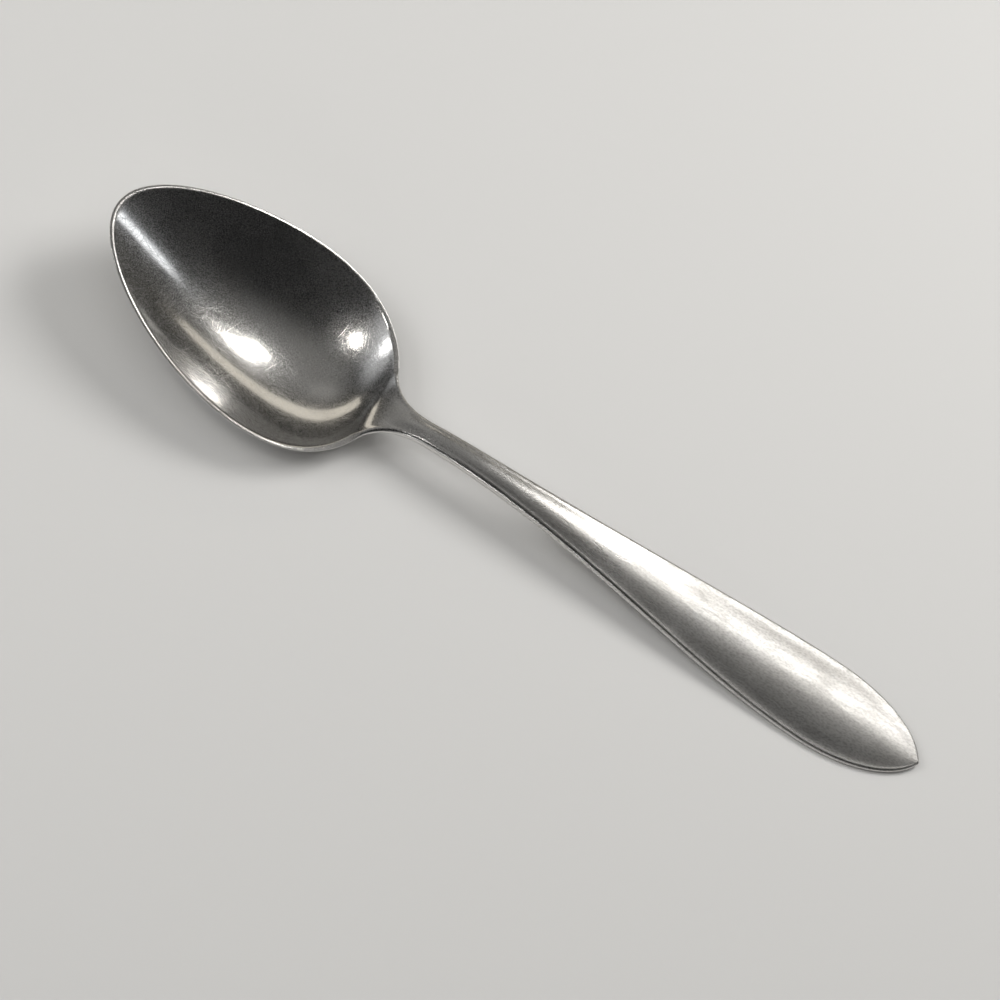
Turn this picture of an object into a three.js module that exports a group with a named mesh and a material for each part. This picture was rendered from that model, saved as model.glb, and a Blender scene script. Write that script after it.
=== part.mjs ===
// A canteen spoon: one steel blank, cut to its outline, rolled thin at the bowl,
// pressed into shape and polished round along its edge. It has no joint, seam or fastener.
// Millimetres, +Z up. The spoon lies on the table at z = 0 with its bowl towards -X.
// Distances along the spoon are measured from the bowl's tip, heights from the table.

import * as THREE from 'three';
import { mergeVertices } from 'three/addons/utils/BufferGeometryUtils.js';

const overallLength = 205;

// Bowl outline: a pointed egg. A sweep is the length of a curve's handle at that place.
const bowlWidth = 46.7;
const bowlWidestAt = 42.4;
const bowlTipSweep = 11.8;
const bowlFrontSweep = 18.6;
const bowlBackSweep = 13.5;

// Heel: where the bowl's outline turns over into the neck's hollow curve.
const heelAt = 66.9;
const heelWidth = 20.6;
const heelAngle = 64.6;
const heelBowlSweep = 8.1;
const heelNeckSweep = 2.3;

// Neck and stem.
const neckAt = 80.8;
const neckWidth = 5.8;
const neckBowlSweep = 10.5;
const neckStemSweep = 37;

// Handle: a long drop that comes to a point. Its sides meet the length at the end angle.
const handleWidth = 20.8;
const handleWidestFromEnd = 24.8;
const handleStemSweep = 26.8;
const handleEndSweep = 9.5;
const endSweep = 7.7;
const endAngle = 62.8;

// Height of the middle of the edge, from the raised tip of the bowl to the end of the handle.
const bowlTipHeight = 20.35;
const rimFrontAt = 28;
const rimFrontHeight = 13.25;
const rimBackAt = 54;
const rimBackHeight = 8.15;
const heelHeight = 6.5;
const neckHeight = 7.9;
const archAt = 96;
const archHeight = 8.3;
const stemAt = 130;
const stemHeight = 5.5;
const slopeFromEnd = 40;
const slopeHeight = 1.5;
const restFromEnd = 20;
const restHeight = 0.6;
const endHeight = 1;

// Depth of the dish below the rim at the bowl's widest place.
// Between the turn and the heel the hollow runs on a little further towards the neck.
const bowlDepth = 9.2;
const hollowTurnsAt = 48;
const heelRunOn = 0.11;

// Thickness of the round edge. The bowl's rim is ground flat on top, at this share of half its thickness.
const rimEdge = 0.7;
const heelEdge = 1.25;
const neckEdge = 2.4;
const archEdge = 2.45;
const stemEdge = 1.8;
const handleEdge = 1.4;
const endEdge = 1.1;
const rimGroundShare = 0.45;

// How far the middle of the top swells above the edge, and the bowl's underside below it.
const bowlCrown = 0.1;
const heelCrown = 0.25;
const neckCrown = 0.25;
const archCrown = 0.32;
const waistAt = 112;
const waistCrown = 0.4;
const stemCrown = 0.46;
const slopeCrown = 1.36;
const handleCrown = 1.47;
const dropFromEnd = 13;
const dropCrown = 1.1;
const bowlBelly = 0.3;

// The swell is broad: it flattens again just inside the edge, by this share and this power of the width.
const crownShoulder = 0.25;
const crownPower = 10;

// How finely the surfaces are divided.
const rowsPerCurve = 13;
const columnCount = 14;
const edgeFacetCount = 4;

// The rows of the blank close up to a point at the bowl's tip and at the handle's end.
const bowlTipAt = rimEdge / 2;
const endAt = overallLength - endEdge / 2;
const handleWidestAt = overallLength - handleWidestFromEnd;

const steel = new THREE.MeshStandardMaterial({ color: 0xb9b7b2, roughness: 0.25, metalness: 1 });

// Half of the outline, along the middle of the round edge, from the bowl's tip to the handle's end.
function halfOutline() {
  const bowlTip = new THREE.Vector2(bowlTipAt, 0);
  const bowlSide = new THREE.Vector2(bowlWidestAt, (bowlWidth - rimEdge) / 2);
  const heel = new THREE.Vector2(heelAt, (heelWidth - heelEdge) / 2);
  const neck = new THREE.Vector2(neckAt, (neckWidth - neckEdge) / 2);
  const handleSide = new THREE.Vector2(handleWidestAt, (handleWidth - handleEdge) / 2);
  const end = new THREE.Vector2(endAt, 0);

  const heelTurn = THREE.MathUtils.degToRad(heelAngle);
  const heelAlong = Math.cos(heelTurn);
  const heelAcross = Math.sin(heelTurn);
  const endTurn = THREE.MathUtils.degToRad(endAngle);

  const outline = new THREE.Path();
  outline.moveTo(bowlTip.x, bowlTip.y);
  outline.bezierCurveTo(
    bowlTip.x, bowlTipSweep,
    bowlSide.x - bowlFrontSweep, bowlSide.y,
    bowlSide.x, bowlSide.y,
  );
  outline.bezierCurveTo(
    bowlSide.x + bowlBackSweep, bowlSide.y,
    heel.x - heelBowlSweep * heelAlong, heel.y + heelBowlSweep * heelAcross,
    heel.x, heel.y,
  );
  outline.bezierCurveTo(
    heel.x + heelNeckSweep * heelAlong, heel.y - heelNeckSweep * heelAcross,
    neck.x - neckBowlSweep, neck.y,
    neck.x, neck.y,
  );
  outline.bezierCurveTo(
    neck.x + neckStemSweep, neck.y,
    handleSide.x - handleStemSweep, handleSide.y,
    handleSide.x, handleSide.y,
  );
  outline.bezierCurveTo(
    handleSide.x + handleEndSweep, handleSide.y,
    end.x - endSweep * Math.cos(endTurn), endSweep * Math.sin(endTurn),
    end.x, end.y,
  );
  return outline;
}

// How sharply a thin strip bends at each pin when it is laid over pins at these places and values.
function stripBends(places, values) {
  const last = places.length - 1;
  const bends = new Array(last + 1).fill(0);
  const carried = new Array(last + 1).fill(0);
  for (let pin = 1; pin < last; pin += 1) {
    const before = places[pin] - places[pin - 1];
    const after = places[pin + 1] - places[pin];
    const slopeBefore = (values[pin] - values[pin - 1]) / before;
    const slopeAfter = (values[pin + 1] - values[pin]) / after;
    const stiffness = 2 * (before + after) - before * carried[pin - 1];
    carried[pin] = after / stiffness;
    bends[pin] = (6 * (slopeAfter - slopeBefore) - before * bends[pin - 1]) / stiffness;
  }
  for (let pin = last - 1; pin > 0; pin -= 1) {
    bends[pin] -= carried[pin] * bends[pin + 1];
  }
  return bends;
}

// A smooth line through [distance from the bowl's tip, value] stations.
function smoothLine(stations) {
  const places = stations.map((station) => station[0]);
  const values = stations.map((station) => station[1]);
  const bends = stripBends(places, values);
  return (distance) => {
    const found = places.findIndex((place) => place >= distance);
    const next = found < 0 ? places.length - 1 : Math.max(found, 1);
    const from = next - 1;
    const span = places[next] - places[from];
    const left = (places[next] - distance) / span;
    const right = 1 - left;
    const sag = (left ** 3 - left) * bends[from] + (right ** 3 - right) * bends[next];
    return left * values[from] + right * values[next] + sag * span ** 2 / 6;
  };
}

const edgeHeight = smoothLine([
  [bowlTipAt, bowlTipHeight],
  [rimFrontAt, rimFrontHeight],
  [rimBackAt, rimBackHeight],
  [heelAt, heelHeight],
  [neckAt, neckHeight],
  [archAt, archHeight],
  [stemAt, stemHeight],
  [overallLength - slopeFromEnd, slopeHeight],
  [overallLength - restFromEnd, restHeight],
  [endAt, endHeight],
]);

const edgeThickness = smoothLine([
  [bowlTipAt, rimEdge],
  [bowlWidestAt, rimEdge],
  [heelAt, heelEdge],
  [neckAt, neckEdge],
  [archAt, archEdge],
  [stemAt, stemEdge],
  [handleWidestAt, handleEdge],
  [endAt, endEdge],
]);

const crownHeight = smoothLine([
  [bowlTipAt, 0],
  [bowlWidestAt, bowlCrown],
  [heelAt, heelCrown],
  [neckAt, neckCrown],
  [archAt, archCrown],
  [waistAt, waistCrown],
  [stemAt, stemCrown],
  [overallLength - slopeFromEnd, slopeCrown],
  [handleWidestAt, handleCrown],
  [overallLength - dropFromEnd, dropCrown],
  [endAt, 0],
]);

// The stations of the blank: place, half width, and the direction square to the outline.
function blankRows() {
  const rows = [];
  for (const curve of halfOutline().curves) {
    for (let step = rows.length === 0 ? 0 : 1; step <= rowsPerCurve; step += 1) {
      const point = curve.getPoint(step / rowsPerCurve);
      const tangent = curve.getTangent(step / rowsPerCurve);
      const outward = new THREE.Vector2(-tangent.y, tangent.x);
      rows.push({ x: point.x, halfWidth: Math.max(point.y, 0), outward });
    }
  }
  return rows;
}

// Depth of the dish at a row: it follows the square of the width and ends at the neck.
function dishDepth(row) {
  const neckHalf = (neckWidth - neckEdge) / 2;
  const bowlHalf = (bowlWidth - rimEdge) / 2;
  if (row.x >= neckAt) {
    return 0;
  }
  const share = (row.halfWidth ** 2 - neckHalf ** 2) / (bowlHalf ** 2 - neckHalf ** 2);
  const runOn = heelRunOn * THREE.MathUtils.smoothstep(row.x, hollowTurnsAt, heelAt);
  return bowlDepth * Math.max(share, 0) ** (1 - runOn);
}

// How high grinding leaves the metal above the middle of the edge. Past the heel nothing is ground off.
function groundHeight(row) {
  if (row.x > heelAt) {
    return Infinity;
  }
  return rimGroundShare * edgeThickness(row.x) / 2;
}

// Where the press and the polishing put one point of the blank.
// across runs from -1 to 1 over the width, and round from -1 (underside) to 1 (top) over the edge.
function pressed(rows, rowNumber, across, round) {
  const row = rows[rowNumber];
  const edge = edgeThickness(row.x) / 2;
  const open = row.halfWidth > 0;
  const rise = open ? 1 - across ** 2 : 0;
  const crown = open ? rise - crownShoulder * (across ** 2 - across ** crownPower) : 0;
  const dish = dishDepth(row);
  const place = new THREE.Vector3(row.x, across * row.halfWidth, edgeHeight(row.x));

  if (Math.abs(round) === 1) {
    const belly = bowlBelly * dish / bowlDepth * rise;
    const swell = round > 0 ? crownHeight(row.x) * crown : -belly;
    place.z += Math.min(round * edge + swell - dish * rise, groundHeight(row));
    return place;
  }
  const lean = Math.atan2(row.outward.y, Math.abs(row.outward.x));
  const turn = round * Math.PI / 2;
  place.x += edge * Math.cos(turn) * Math.sign(row.outward.x) * Math.cos(lean * across);
  place.y += edge * Math.cos(turn) * Math.sin(lean * across);
  place.z += Math.min(edge * Math.sin(turn), groundHeight(row));
  return place;
}

// Takes out the triangles that closed up where the rows run together at the two ends.
function withoutClosedTriangles(geometry) {
  const corners = geometry.index.array;
  const kept = [];
  for (let first = 0; first < corners.length; first += 3) {
    const [a, b, c] = corners.slice(first, first + 3);
    if (a !== b && b !== c && c !== a) {
      kept.push(a, b, c);
    }
  }
  geometry.setIndex(kept);
  return geometry;
}

function spoonGeometry() {
  const rows = blankRows();
  const last = rows.length - 1;
  const blank = new THREE.BoxGeometry(
    last, columnCount, edgeFacetCount,
    last, columnCount, edgeFacetCount,
  );
  blank.deleteAttribute('normal');
  blank.deleteAttribute('uv');
  const position = blank.getAttribute('position');
  for (let corner = 0; corner < position.count; corner += 1) {
    const rowNumber = Math.round(position.getX(corner) + last / 2);
    const across = position.getY(corner) / (columnCount / 2);
    const round = position.getZ(corner) / (edgeFacetCount / 2);
    const place = pressed(rows, rowNumber, across, round);
    // The underside is worn flat where it lies on the table.
    position.setXYZ(corner, place.x - overallLength / 2, place.y, Math.max(place.z, 0));
  }
  const geometry = withoutClosedTriangles(mergeVertices(blank));
  geometry.computeVertexNormals();
  return geometry;
}

const canteenSpoon = new THREE.Group();
const spoon = new THREE.Mesh(spoonGeometry(), steel);
spoon.name = 'spoon';
canteenSpoon.add(spoon);

export default canteenSpoon;
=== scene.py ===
import math

import bmesh
import bpy
import numpy as np
from mathutils import Matrix, Vector
from mathutils.geometry import interpolate_bezier


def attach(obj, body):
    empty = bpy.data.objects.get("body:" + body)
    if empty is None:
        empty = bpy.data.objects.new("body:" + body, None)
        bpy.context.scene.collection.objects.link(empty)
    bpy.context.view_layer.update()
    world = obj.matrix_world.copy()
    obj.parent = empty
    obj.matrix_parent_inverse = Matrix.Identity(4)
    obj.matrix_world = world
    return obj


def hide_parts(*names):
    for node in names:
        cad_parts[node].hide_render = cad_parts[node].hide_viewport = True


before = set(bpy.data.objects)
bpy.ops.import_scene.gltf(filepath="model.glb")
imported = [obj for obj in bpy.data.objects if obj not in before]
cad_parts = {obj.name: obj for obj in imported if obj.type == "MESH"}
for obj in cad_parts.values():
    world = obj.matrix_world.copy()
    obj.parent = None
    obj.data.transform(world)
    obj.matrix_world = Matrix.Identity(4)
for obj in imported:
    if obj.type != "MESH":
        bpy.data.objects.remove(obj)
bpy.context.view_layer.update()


# Spoon: one blank of stainless steel, cut out, rolled thin at the bowl and left thick at the neck.
# The press draws the bowl and bows the handle, and then the edge is ground round and polished.
# It lies bowl up, and years of washing and stirring have covered it in fine scratches.

# Sizes in millimetres. Distances run along the spoon from the bowl's tip, heights from the table.
millimetre = 0.001
overall_length = 205.0
bowl_width, bowl_widest_at = 46.7, 42.4
bowl_tip_sweep, bowl_front_sweep, bowl_back_sweep = 11.8, 18.6, 13.5
heel_at, heel_width, heel_angle = 66.9, 20.6, math.radians(64.6)
heel_bowl_sweep, heel_neck_sweep = 8.1, 2.3
neck_at, neck_width = 80.8, 5.8
neck_bowl_sweep, neck_stem_sweep = 10.5, 37.0
handle_width, handle_widest_at = 20.8, overall_length - 24.8
handle_stem_sweep, handle_end_sweep = 26.8, 9.5
end_sweep, end_angle = 7.7, math.radians(62.8)
rim_front_at, rim_back_at = 28.0, 54.0
arch_at, waist_at, stem_at = 96.0, 112.0, 130.0
slope_at, rest_at, drop_at = overall_length - 40, overall_length - 20, overall_length - 13
tip_height, rim_front_height, rim_back_height = 20.35, 13.25, 8.15
heel_height, neck_height, arch_height, stem_height = 6.5, 7.9, 8.3, 5.5
slope_height, rest_height, end_height = 1.5, 0.6, 1.0
bowl_depth, hollow_turns_at, heel_run_on = 9.2, 48.0, 0.11
rim_edge, heel_edge, neck_edge, arch_edge, stem_edge = 0.7, 1.25, 2.4, 2.45, 1.8
handle_edge, end_edge = 1.4, 1.1
bowl_crown, heel_crown, neck_crown, arch_crown = 0.1, 0.25, 0.25, 0.32
waist_crown, stem_crown, slope_crown, handle_crown, drop_crown = 0.40, 0.46, 1.36, 1.47, 1.1
crown_shoulder, crown_power = 0.25, 10
bowl_belly = 0.3
ground_share, unground_share = 0.45, 9.0
ground_softly, worn_softly = 0.05, 0.06
weld_gap = 0.0001

# Half of the outline along the middle of the round edge, as five curves from the tip to the end.
tip = Vector((rim_edge / 2, 0))
bowl_side = Vector((bowl_widest_at, (bowl_width - rim_edge) / 2))
heel = Vector((heel_at, (heel_width - heel_edge) / 2))
neck = Vector((neck_at, (neck_width - neck_edge) / 2))
handle_side = Vector((handle_widest_at, (handle_width - handle_edge) / 2))
end = Vector((overall_length - end_edge / 2, 0))
heel_fall = Vector((math.cos(heel_angle), -math.sin(heel_angle)))
end_fall = Vector((math.cos(end_angle), -math.sin(end_angle)))
along = Vector((1, 0))
outline_curves = [
    (tip, tip + Vector((0, bowl_tip_sweep)), bowl_side - along * bowl_front_sweep, bowl_side),
    (bowl_side, bowl_side + along * bowl_back_sweep, heel - heel_fall * heel_bowl_sweep, heel),
    (heel, heel + heel_fall * heel_neck_sweep, neck - along * neck_bowl_sweep, neck),
    (neck, neck + along * neck_stem_sweep, handle_side - along * handle_stem_sweep, handle_side),
    (handle_side, handle_side + along * handle_end_sweep, end - end_fall * end_sweep, end),
]
rows_per_curve, columns, edge_facets = 48, 64, 16
outline = [tip]
for curve in outline_curves:
    outline += interpolate_bezier(*curve, rows_per_curve + 1)[1:]
station, half_width = np.array(outline, float).T
half_width[[0, -1]] = 0
run = np.gradient(np.stack([station, half_width], 1), axis=0)
run /= np.linalg.norm(run, axis=1)[:, None]
run[0] = 0, 1
outward_along, outward_across = -run[:, 1], run[:, 0]


def strip_over(pins):
    """Height of a springy strip that lies over pins, at every row of the blank."""
    at, height = np.array(pins, float).T
    gap = np.diff(at)
    stiffness = np.diag(2 * (gap[:-1] + gap[1:])) + np.diag(gap[1:-1], 1) + np.diag(gap[1:-1], -1)
    bend = np.zeros(len(at))
    bend[1:-1] = np.linalg.solve(stiffness, 6 * np.diff(np.diff(height) / gap))
    span = np.clip(np.searchsorted(at, station) - 1, 0, len(gap) - 1)
    left = (at[span + 1] - station) / gap[span]
    right = 1 - left
    sag = (left**3 - left) * bend[span] + (right**3 - right) * bend[span + 1]
    return left * height[span] + right * height[span + 1] + sag * gap[span] ** 2 / 6


edge_height = strip_over([
    (tip.x, tip_height), (rim_front_at, rim_front_height), (rim_back_at, rim_back_height),
    (heel_at, heel_height), (neck_at, neck_height), (arch_at, arch_height), (stem_at, stem_height),
    (slope_at, slope_height), (rest_at, rest_height), (end.x, end_height),
])
half_edge = strip_over([
    (tip.x, rim_edge), (bowl_widest_at, rim_edge), (heel_at, heel_edge), (neck_at, neck_edge),
    (arch_at, arch_edge), (stem_at, stem_edge), (handle_widest_at, handle_edge), (end.x, end_edge),
]) / 2
crown_height = strip_over([
    (tip.x, 0), (bowl_widest_at, bowl_crown), (heel_at, heel_crown), (neck_at, neck_crown),
    (arch_at, arch_crown), (waist_at, waist_crown), (stem_at, stem_crown), (slope_at, slope_crown),
    (handle_widest_at, handle_crown), (drop_at, drop_crown), (end.x, 0),
])

# The dish follows the square of the width, from the tip over the widest place to the neck.
behind = station > bowl_widest_at
neck_share = np.where(behind, neck.y**2, 0)
dish_share = np.clip((half_width**2 - neck_share) / (bowl_side.y**2 - neck_share), 0, 1)
# Near the heel the hollow runs on a little further towards the neck.
run_on = np.clip((station - hollow_turns_at) / (heel_at - hollow_turns_at), 0, 1)
dish = bowl_depth * dish_share ** (1 - heel_run_on * run_on**2 * (3 - 2 * run_on))
dish[station >= neck_at] = 0
hollow = np.full(len(station), bowl_depth / bowl_side.y**2)
hollow[1:-1] = dish[1:-1] / half_width[1:-1] ** 2
hollow[-1] = 0
rim_slope = np.gradient(edge_height, station)
hollow_change = np.gradient(hollow, station)
width_change = np.gradient(half_width**2, station)

# The flat blank: a bar cut into rows, columns and edge facets.
blank = bmesh.new()
bmesh.ops.create_cube(blank, size=2)
for axis, parts in enumerate((len(outline) - 1, columns, edge_facets)):
    runs = [e for e in blank.edges if abs(e.verts[0].co[axis] - e.verts[1].co[axis]) > weld_gap]
    bmesh.ops.subdivide_edges(blank, edges=runs, cuts=parts - 1, use_grid_fill=True)

# The press: each point of the blank goes to its row, then up or down from the middle of the metal.
u, across, turn = np.array([v.co for v in blank.verts]).T
row = np.rint((u + 1) / 2 * (len(outline) - 1)).astype(int)
w, edge = half_width[row], half_edge[row]
rise = np.where(w > 0, 1 - across**2, 0)
middle = np.stack([station[row], across * w, edge_height[row] - dish[row] * rise], 1)
square = np.stack([
    hollow_change[row] * w**2 * rise + hollow[row] * width_change[row] - rim_slope[row],
    -2 * hollow[row] * w * across,
    np.ones(len(row)),
], 1)
square /= np.linalg.norm(square, axis=1)[:, None]

# Direction out of the edge and square to the metal.
lean = np.arctan2(outward_across[row], abs(outward_along[row])) * across
brim = np.stack([np.sign(outward_along[row]) * np.cos(lean), np.sin(lean), np.zeros(len(row))], 1)
brim -= square * (brim * square).sum(1)[:, None]
brim /= np.linalg.norm(brim, axis=1)[:, None]

# The top swells to a ridge and flattens again just inside the edge.
swell = 1 - (1 + crown_shoulder) * across**2 + crown_shoulder * across**crown_power
crown = np.where(w > 0, swell, 0)
upper = edge + crown_height[row] * crown
round_angle = turn * math.pi / 2
top = middle + square * upper[:, None]
belly = bowl_belly * rise * dish[row] / bowl_depth
under = middle - square * (edge + belly)[:, None]
rounded = middle + edge[:, None] * (
    np.sin(round_angle)[:, None] * square + np.cos(round_angle)[:, None] * brim
)
on_top, on_underside = turn > 1 - weld_gap, turn < weld_gap - 1
place = np.where(on_top[:, None], top, np.where(on_underside[:, None], under, rounded))
# The rim of the bowl is ground flat on top, and nothing is ground off past the heel.
ground = np.interp(station, (heel_at, neck_at), (ground_share, unground_share))
spare = (edge_height + half_edge * ground)[row] - place[:, 2]
place[:, 2] += (spare - np.sqrt(spare**2 + ground_softly**2)) / 2
# The underside is worn flat where it lies on the table.
place[:, 2] = (place[:, 2] + np.sqrt(place[:, 2] ** 2 + worn_softly**2)) / 2
for vertex, spot in zip(blank.verts, place):
    vertex.co = spot
bmesh.ops.remove_doubles(blank, verts=blank.verts, dist=weld_gap)
bmesh.ops.recalc_face_normals(blank, faces=blank.faces)
bmesh.ops.translate(blank, verts=blank.verts, vec=(-overall_length / 2, 0, 0))
bmesh.ops.scale(blank, verts=blank.verts, vec=(millimetre, millimetre, millimetre))
spoon_mesh = bpy.data.meshes.new("canteen_spoon")
blank.to_mesh(spoon_mesh)
blank.free()
spoon_mesh.shade_smooth()
spoon = bpy.data.objects.new("canteen_spoon", spoon_mesh)
bpy.context.scene.collection.objects.link(spoon)

# Worn polished steel. The bowl keeps its mirror polish, the handle is duller from hands.
# Places and widths are in millimetres from the middle of the spoon, depths in metres.
clean_steel, tarnished_steel = (0.74, 0.73, 0.715, 1), (0.66, 0.645, 0.62, 1)
grey_speck, bright_scratch = (0.40, 0.39, 0.375, 1), (0.97, 0.965, 0.955, 1)
mirror_ends, dull_starts = -32.0, 5.0
grip_starts, grip_full, grip_dulls = 22.0, 52.0, 0.10
swirl_width, stroke_width, scratch_fade = 0.09, 0.14, 0.15
stroke_strength, scratch_dulls, scratch_shines = 0.7, 0.09, 0.7
speckle_strength = 0.55
wave_height, bowl_wave_share, streak_wave_share = 0.000025, 0.4, 0.5
scratch_depth, handle_scratch_share = 0.0000035, 0.4
drift_fineness, drift_reach = 0.06, 9.0
steel = bpy.data.materials.new("worn_polished_steel")
steel.use_nodes = True
nodes, links = steel.node_tree.nodes, steel.node_tree.links
surface = nodes["Principled BSDF"]
surface.inputs["Metallic"].default_value = 1.0


def add(kind, inputs, **settings):
    """Adds a node to the steel, sets it up, and joins or sets its inputs."""
    made = nodes.new(kind)
    for name, value in settings.items():
        setattr(made, name, value)
    for name, value in inputs.items():
        if isinstance(value, bpy.types.NodeSocket):
            links.new(value, made.inputs[name])
        else:
            made.inputs[name].default_value = value
    return made


def sums(operation, first, second):
    return add("ShaderNodeMath", {0: first, 1: second}, operation=operation).outputs[0]


def spread(value, low=0.0, high=1.0, to_low=0.0, to_high=1.0, shape="LINEAR"):
    return add("ShaderNodeMapRange", {
        "Value": value, "From Min": low, "From Max": high, "To Min": to_low, "To Max": to_high,
    }, interpolation_type=shape).outputs["Result"]


def blended(share, first, second, kind="FLOAT"):
    return add("ShaderNodeMix", {
        "Factor": share, "A": first, "B": second,
    }, data_type=kind).outputs["Result"]


def cloud(size, detail=2.0, stretch=(1, 1, 1), angle=0.0, shift=0.0, over=None):
    """Soft random patches about this many millimetres across."""
    laid = add("ShaderNodeMapping", {
        "Vector": over or in_millimetres, "Location": (shift, shift, shift),
        "Rotation": (0, 0, math.radians(angle)), "Scale": tuple(size * s for s in stretch),
    }, vector_type="TEXTURE")
    return add("ShaderNodeTexNoise", {
        "Vector": laid.outputs["Vector"], "Scale": 1.0, "Detail": detail, "Roughness": 0.5,
    }).outputs["Fac"]


def scratches(angle, length, width, rare, shift):
    """Thin marks of one direction. A higher rare leaves fewer of them."""
    marks = cloud(width, 1.0, (length / width, 1, length / width), angle, shift, wandering)
    return spread(marks, rare, rare + scratch_fade)


def strongest(layers):
    result = layers[0]
    for layer in layers[1:]:
        result = sums("MAXIMUM", result, layer)
    return result


object_place = add("ShaderNodeTexCoord", {}).outputs["Object"]
in_millimetres = add("ShaderNodeVectorMath", {
    0: object_place, "Scale": 1 / millimetre,
}, operation="SCALE").outputs[0]
along_spoon = add("ShaderNodeSeparateXYZ", {0: in_millimetres}).outputs["X"]
on_handle = spread(along_spoon, mirror_ends, dull_starts)
drift = add("ShaderNodeTexNoise", {"Vector": in_millimetres, "Scale": drift_fineness, "Detail": 1.0})
wandering = add("ShaderNodeVectorMath", {
    0: drift.outputs["Color"], 1: (drift_reach, drift_reach, drift_reach), 2: in_millimetres,
}, operation="MULTIPLY_ADD").outputs[0]

# Swirls from washing and stirring in the bowl, strokes from the drawer along the handle.
swirls = strongest([
    scratches(angle, length, swirl_width, rare, shift)
    for angle, length, rare, shift in (
        (8, 9, 0.67, 11), (31, 14, 0.68, 23), (55, 10, 0.67, 37), (80, 15, 0.68, 41),
        (102, 9, 0.67, 59), (127, 13, 0.68, 67), (155, 11, 0.67, 71),
    )
])
strokes = strongest([
    scratches(angle, length, stroke_width, rare, shift)
    for angle, length, rare, shift in (
        (2, 26, 0.62, 5), (-9, 18, 0.63, 17), (12, 20, 0.63, 29), (-34, 10, 0.68, 31), (71, 8, 0.68, 43),
    )
])
marks = blended(on_handle, swirls, sums("MULTIPLY", strokes, stroke_strength))

# Dullness: a fine haze over the bowl, lengthwise streaks and the grip's wear on the handle.
haze = spread(cloud(size=0.10, detail=1.0, shift=47), low=0.48, high=0.58, to_high=0.26)
bowl_patches = spread(cloud(size=9.0, detail=3.0), low=0.3, high=0.7, to_low=0.07, to_high=0.11)
dull_bowl = sums("ADD", haze, bowl_patches)
streaks = cloud(size=0.50, stretch=(9, 1, 9), angle=4, shift=61, over=wandering)
streaked = spread(streaks, low=0.35, high=0.65, to_low=-0.02, to_high=0.03)
gripped = spread(along_spoon, grip_starts, grip_full, shape="SMOOTHSTEP")
grip_wear = spread(gripped, to_high=grip_dulls)
handle_patches = spread(
    cloud(size=3.0, detail=3.0, stretch=(2.2, 1, 1)), low=0.3, high=0.7, to_low=0.24, to_high=0.31,
)
dull_handle = sums("ADD", sums("ADD", streaked, grip_wear), handle_patches)
polish = blended(on_handle, dull_bowl, dull_handle)
links.new(sums("ADD", polish, sums("MULTIPLY", marks, scratch_dulls)), surface.inputs["Roughness"])

# Colour: faint tarnish, grey specks on the handle, and scratches that shine.
tarnish = spread(cloud(size=14.0, detail=4.0, stretch=(1.6, 1, 1), shift=7), low=0.35, high=0.7)
tone = blended(tarnish, clean_steel, tarnished_steel, "RGBA")
grain = cloud(size=0.30, stretch=(2.2, 1, 1), angle=8, shift=83)
speckle = sums("MULTIPLY", spread(grain, low=0.44, high=0.62), sums("MULTIPLY", on_handle, speckle_strength))
specked = blended(speckle, tone, grey_speck, "RGBA")
scuffed = blended(sums("MULTIPLY", marks, scratch_shines), specked, bright_scratch, "RGBA")
links.new(scuffed, surface.inputs["Base Color"])

# Relief: the polish is slightly wavy, and the scratches are cut into it.
bowl_waves = cloud(size=4.0, detail=1.0, stretch=(1.5, 1, 1), shift=3)
handle_waves = cloud(size=2.6, detail=1.0, stretch=(2.4, 1, 1), shift=13)
ripple = blended(
    on_handle,
    sums("MULTIPLY", bowl_waves, bowl_wave_share),
    sums("ADD", handle_waves, sums("MULTIPLY", streaks, streak_wave_share)),
)
wave = add("ShaderNodeBump", {"Height": ripple, "Strength": 1.0, "Distance": wave_height})
cuts = sums("MULTIPLY", marks, spread(on_handle, to_low=1.0, to_high=handle_scratch_share))
cut = add("ShaderNodeBump", {
    "Height": cuts, "Strength": 1.0, "Distance": scratch_depth, "Normal": wave.outputs["Normal"],
}, invert=True)
links.new(cut.outputs["Normal"], surface.inputs["Normal"])

spoon_mesh.materials.append(steel)
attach(spoon, "root")
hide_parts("spoon")


# Floor: a plain pale sheet that the spoon lies on.
# It is matt and has no pattern.
floor_reach = 4.0
floor_mesh = bpy.data.meshes.new("pale_floor")
sheet = bmesh.new()
bmesh.ops.create_grid(sheet, x_segments=1, y_segments=1, size=floor_reach)
sheet.to_mesh(floor_mesh)
sheet.free()
floor = bpy.data.objects.new("pale_floor", floor_mesh)
bpy.context.scene.collection.objects.link(floor)
paper = bpy.data.materials.new("pale_paper")
paper.use_nodes = True
paper_surface = paper.node_tree.nodes["Principled BSDF"]
paper_surface.inputs["Base Color"].default_value = (0.52, 0.517, 0.51, 1)
paper_surface.inputs["Roughness"].default_value = 0.9
paper_surface.inputs["Specular IOR Level"].default_value = 0.2
floor_mesh.materials.append(paper)


# Studio light: soft lamps behind the spoon, overhead, past its two ends and at its near side, and
# large dim cards around them. The rest of the studio is dark, so the steel shows the lamps against
# dark grey. The washes only brighten the floor.
lamp_middle, fade_ends, fade_starts = (0.5, 0.5, 0), 0.5, 0.1
spoon_middle, bowl_middle, bowl_tip = (0.0, 0.0, 0.0), (-0.05, 0.0, 0.0), (-0.10, 0.0, 0.02)
warm_white, soft_white = (1.0, 0.98, 0.95), (1.0, 0.99, 0.97)


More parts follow.
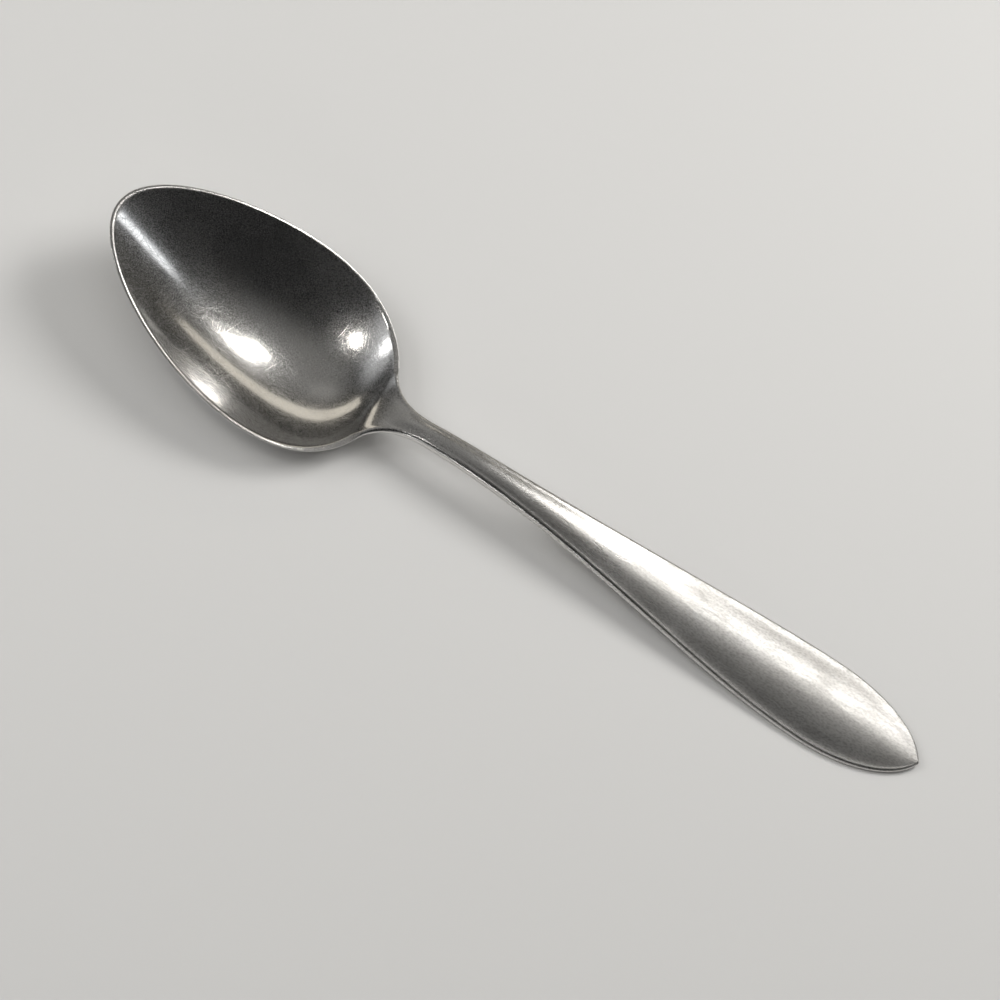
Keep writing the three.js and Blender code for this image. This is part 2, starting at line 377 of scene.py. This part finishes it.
def lamp(name, place, aim, size, watts, colour, seen_in_steel=True, faded=False):
    """A flat lamp. A faded one is bright in its middle and dies away to its edge."""
    light = bpy.data.lights.new(name, "AREA")
    light.shape = "RECTANGLE"
    light.size, light.size_y = size
    light.energy = watts
    light.color = colour
    if faded:
        light.use_nodes = True
        tree = light.node_tree
        across_lamp = tree.nodes.new("ShaderNodeNewGeometry").outputs["Parametric"]
        from_middle = tree.nodes.new("ShaderNodeVectorMath")
        from_middle.operation = "DISTANCE"
        from_middle.inputs[1].default_value = lamp_middle
        tree.links.new(across_lamp, from_middle.inputs[0])
        fade = tree.nodes.new("ShaderNodeMapRange")
        fade.interpolation_type = "SMOOTHSTEP"
        fade.inputs["From Min"].default_value = fade_ends
        fade.inputs["From Max"].default_value = fade_starts
        tree.links.new(from_middle.outputs["Value"], fade.inputs["Value"])
        tree.links.new(fade.outputs["Result"], tree.nodes["Emission"].inputs["Strength"])
    holder = bpy.data.objects.new(name, light)
    back = (Vector(place) - Vector(aim)).normalized()
    holder.matrix_world = Matrix.Translation(place) @ back.to_track_quat("Z", "Y").to_matrix().to_4x4()
    holder.visible_glossy = seen_in_steel
    bpy.context.scene.collection.objects.link(holder)


lamp("lamp_behind", place=(0.190, 0.418, 0.48), aim=spoon_middle, size=(0.085, 0.22),
     watts=0.54, colour=warm_white)
lamp("glow_behind", place=(0.266, 0.571, 0.49), aim=spoon_middle, size=(0.45, 0.30),
     watts=0.18, colour=(1.0, 0.97, 0.92), faded=True)
lamp("lamp_overhead", place=(-0.205, -0.135, 0.50), aim=bowl_middle, size=(0.07, 0.07),
     watts=0.20, colour=warm_white)
lamp("lamp_past_bowl", place=(-0.56, -0.165, 0.44), aim=bowl_middle, size=(0.12, 0.12),
     watts=0.25, colour=(0.95, 0.97, 1.0))
lamp("card_past_bowl", place=(-0.54, -0.22, 0.50), aim=bowl_middle, size=(1.30, 0.60),
     watts=1.3, colour=(0.96, 0.98, 1.0), faded=True)
lamp("lamp_past_handle", place=(0.448, 0.380, 0.362), aim=bowl_tip, size=(0.22, 0.12),
     watts=0.032, colour=(0.9, 0.95, 1.0), faded=True)
lamp("glint_past_handle", place=(0.443, 0.397, 0.352), aim=bowl_tip, size=(0.12, 0.12),
     watts=0.13, colour=(0.93, 0.96, 1.0), faded=True)
lamp("glow_over_neck", place=(-0.357, 0.52, 0.788), aim=(-0.03, 0.0, 0.0), size=(0.60, 0.42),
     watts=0.09, colour=(1.0, 0.98, 0.94), faded=True)
lamp("back_card", place=(-0.055, 0.92, 0.47), aim=(0.345, 0.225, 0.0), size=(1.85, 0.17),
     watts=1.0, colour=(1.0, 0.94, 0.82))
lamp("ceiling_card", place=(0.0, 0.50, 1.10), aim=spoon_middle, size=(2.4, 2.0),
     watts=2.7, colour=(1.0, 0.99, 0.96), faded=True)
lamp("card_near_side", place=(0.0, -1.20, 0.32), aim=spoon_middle, size=(2.8, 0.70),
     watts=3.0, colour=soft_white, faded=True)
lamp("lamp_near_side", place=(-0.02, -1.096, 0.496), aim=(-0.02, 0.0, 0.0), size=(0.07, 0.10),
     watts=0.30, colour=soft_white)
lamp("card_past_handle", place=(1.25, -0.15, 0.33), aim=spoon_middle, size=(2.0, 0.65),
     watts=1.5, colour=(0.97, 0.98, 1.0), faded=True)
lamp("wash_behind", place=(0.21, 0.39, 0.50), aim=spoon_middle, size=(0.35, 0.35),
     watts=3.0, colour=soft_white, seen_in_steel=False)
lamp("wash_past_bowl", place=(-0.56, -0.165, 0.44), aim=bowl_middle, size=(0.35, 0.35),
     watts=2.0, colour=soft_white, seen_in_steel=False)
lamp("wash_overhead", place=(0.0, -0.3, 1.6), aim=spoon_middle, size=(1.4, 1.4),
     watts=8.0, colour=soft_white, seen_in_steel=False)
studio = bpy.data.worlds.new("dim_studio")
studio.use_nodes = True
studio.node_tree.nodes["Background"].inputs["Color"].default_value = (0.013, 0.013, 0.0135, 1)
studio.node_tree.nodes["Background"].inputs["Strength"].default_value = 1.0
bpy.context.scene.world = studio
bpy.context.scene.view_settings.view_transform = "Standard"


# Camera: a long lens, a metre off and high over the near side, turned so that the spoon lies
# from the upper left to the lower right.
azimuth, elevation, roll = math.radians(-3.45), math.radians(63.31), math.radians(35.58)
aim_along, aim_across, aim_height = 100.03, -4.0, 8.0
distance = 0.984
sensor_width, lens_over_sensor = 36.0, 4.701
aim = Vector((aim_along - overall_length / 2, aim_across, aim_height)) * millimetre
back = Vector((
    math.sin(azimuth) * math.cos(elevation), -math.cos(azimuth) * math.cos(elevation), math.sin(elevation),
))
level_right = Vector((math.cos(azimuth), math.sin(azimuth), 0))
level_up = back.cross(level_right)
right = level_right * math.cos(roll) + level_up * math.sin(roll)
up = level_up * math.cos(roll) - level_right * math.sin(roll)
camera_lens = bpy.data.cameras.new("camera")
camera_lens.lens = sensor_width * lens_over_sensor
camera_lens.sensor_width = sensor_width
camera_lens.clip_start, camera_lens.clip_end = 0.01, 50.0
camera = bpy.data.objects.new("camera", camera_lens)
turned = Matrix((right, up, back)).transposed().to_4x4()
camera.matrix_world = Matrix.Translation(aim + back * distance) @ turned
bpy.context.scene.collection.objects.link(camera)
bpy.context.scene.camera = camera
